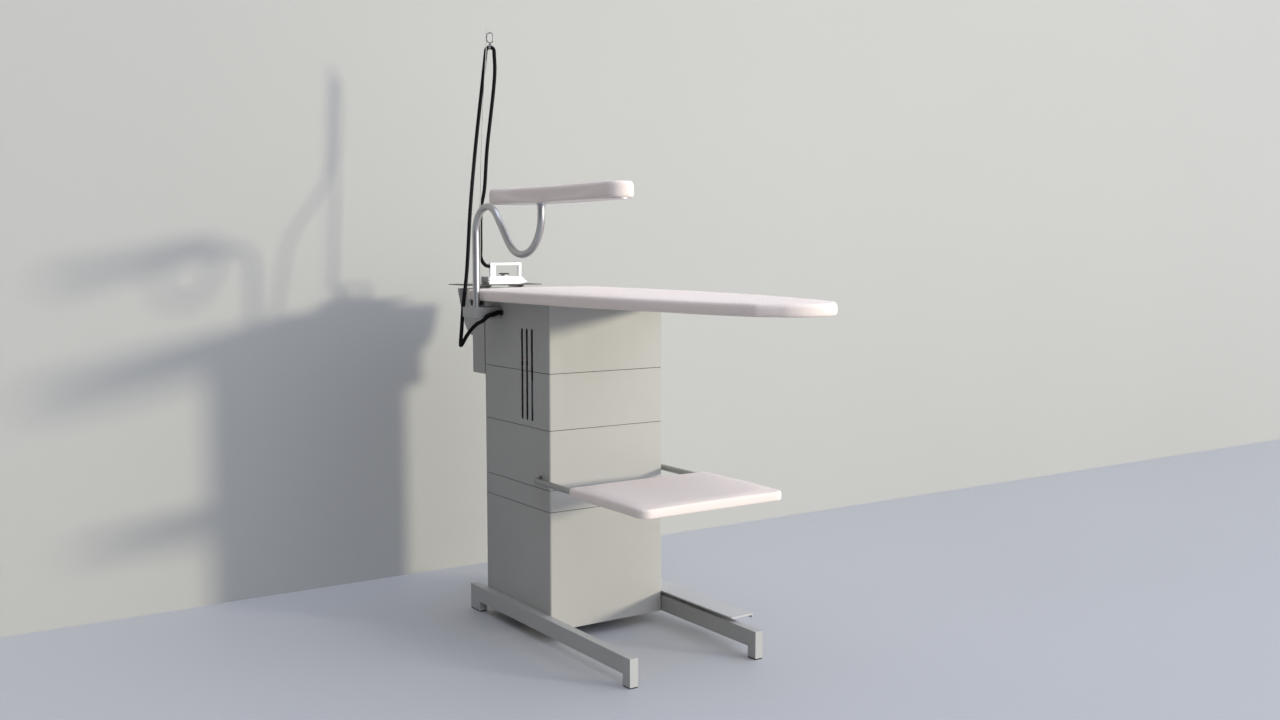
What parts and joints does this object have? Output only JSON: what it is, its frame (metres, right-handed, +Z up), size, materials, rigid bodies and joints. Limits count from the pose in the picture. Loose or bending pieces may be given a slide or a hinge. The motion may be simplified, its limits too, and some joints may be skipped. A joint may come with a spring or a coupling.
{
  "type": "steam pressing table",
  "caption": "Freestanding steam and vacuum pressing table with pointed padded board, swivelling sleeve arm, corded steam iron on a rest, hose pole, garment tray and foot pedal.",
  "frame": {"origin": "centre of the four foot holes, on the floor", "axes": "+Z up, -X toward the nose of the board, +X toward the iron end, -Y toward the operator, +Y toward the sleeve arm"},
  "size_m": [1.4, 0.547, 1.6385],
  "materials": {
    "paint": "satin",
    "dark_paint": "matte",
    "steel": "brushed",
    "chrome": "polished",
    "galvanised": "matte",
    "light_alloy": "satin",
    "brass": "satin",
    "copper": "satin",
    "tank_plastic": "translucent",
    "black_plastic": "matte",
    "dark_plastic": "matte",
    "white_gloss": "gloss",
    "grey_plastic": "matte",
    "red_plastic": "gloss",
    "rubber": "matte",
    "cloth": "woven"
  },
  "bodies": {
    "table": {"operator_leg": "paint", "far_leg": "paint", "foot_pads": "rubber", "frame_screws": "steel", "base_pan": "galvanised", "inner_frame": "dark_paint", "lower_shell": "paint", "lower_band": "paint", "middle_shell": "paint", "upper_shell": "paint", "top_shell": "paint", "rear_housing": "paint", "board_stand": "dark_paint", "control_plate": "dark_plastic", "blower_housing": "galvanised", "blower_motor": "dark_paint", "suction_duct": "galvanised", "boiler_shelf": "galvanised", "boiler": "steel", "water_tank": "tank_plastic", "feed_pump": "dark_plastic", "steam_valve": "brass", "steam_pipe": "copper", "board_pan": "galvanised", "board_mesh": "steel", "board_heater": "steel", "board_pad": "cloth", "iron_rest": "black_plastic", "rest_brackets": "paint", "arm_bracket": "paint", "arm_bush": "steel", "pole_socket": "black_plastic", "hose_supply": "rubber", "hose_drop": "rubber", "strain_relief": "rubber", "tray_bushes": "black_plastic", "pedal_pin": "steel", "pedal_brackets": "galvanised", "pedal_spring": "steel", "pedal_switch": "black_plastic"},
    "arm": {"arm_tube": "chrome", "arm_collars": "chrome"},
    "sleeve_board": {"sleeve_base": "light_alloy", "sleeve_pad": "cloth"},
    "pole": {"hose_pole": "chrome", "hose_hook": "chrome", "hose_arch": "rubber"},
    "iron": {"iron_soleplate": "light_alloy", "iron_body": "white_gloss", "iron_handle": "white_gloss", "iron_heel_cap": "grey_plastic"},
    "dial": {"iron_dial": "black_plastic"},
    "button": {"iron_button": "red_plastic"},
    "tray": {"tray_frame": "steel", "tray_pad": "cloth"},
    "pedal": {"pedal_plate": "paint"},
    "fan": {"impeller": "light_alloy"},
    "rocker": {"mains_switch": "red_plastic"},
    "knob": {"heat_knob": "black_plastic"}
  },
  "joints": [
    {"name": "arm_swivel", "type": "hinge", "parent": "table", "child": "arm", "pos_m": [0.285, 0.239, 0.868], "axis": [0, 0, 1], "range_deg": [-90, 90]},
    {"name": "sleeve_swivel", "type": "hinge", "parent": "arm", "child": "sleeve_board", "pos_m": [-0.071, 0.239, 1.1385], "axis": [0, 0, 1], "range_deg": [-90, 90]},
    {"name": "pole_swivel", "type": "hinge", "parent": "table", "child": "pole", "pos_m": [0.45, 0.143, 0.869], "axis": [0, 0, 1], "range_deg": [-60, 60], "deforming": ["hose_supply"]},
    {"name": "iron_lift", "type": "slide", "parent": "table", "child": "iron", "axis": [0, 0, 1], "range_m": [0, 0.12], "deforming": ["hose_drop"]},
    {"name": "dial_turn", "type": "hinge", "parent": "iron", "child": "dial", "pos_m": [0.455, 0.063, 0.953], "axis": [0, 0, 1], "range_deg": [0, 270]},
    {"name": "steam_button", "type": "slide", "parent": "iron", "child": "button", "axis": [0, 0, -1], "range_m": [0, 0.003], "stiffness_N_per_m": 400},
    {"name": "tray_fold", "type": "hinge", "parent": "table", "child": "tray", "pos_m": [0.05, 0, 0.425], "axis": [0, 1, 0], "range_deg": [0, 55]},
    {"name": "pedal_press", "type": "hinge", "parent": "table", "child": "pedal", "pos_m": [-0.05, -0.207, 0.066], "axis": [1, 0, 0], "range_deg": [0, 8], "stiffness_Nm_per_rad": 6, "deforming": ["pedal_spring"]},
    {"name": "blower_spin", "type": "hinge", "parent": "table", "child": "fan", "pos_m": [0.11, 0, 0.15], "axis": [0, 0, 1], "continuous": true},
    {"name": "mains_rocker", "type": "hinge", "parent": "table", "child": "rocker", "pos_m": [0.115, -0.172, 0.795], "axis": [1, 0, 0], "range_deg": [0, 20]},
    {"name": "heat_turn", "type": "hinge", "parent": "table", "child": "knob", "pos_m": [0.18, -0.177, 0.795], "axis": [0, 1, 0], "range_deg": [0, 270]}
  ]
}
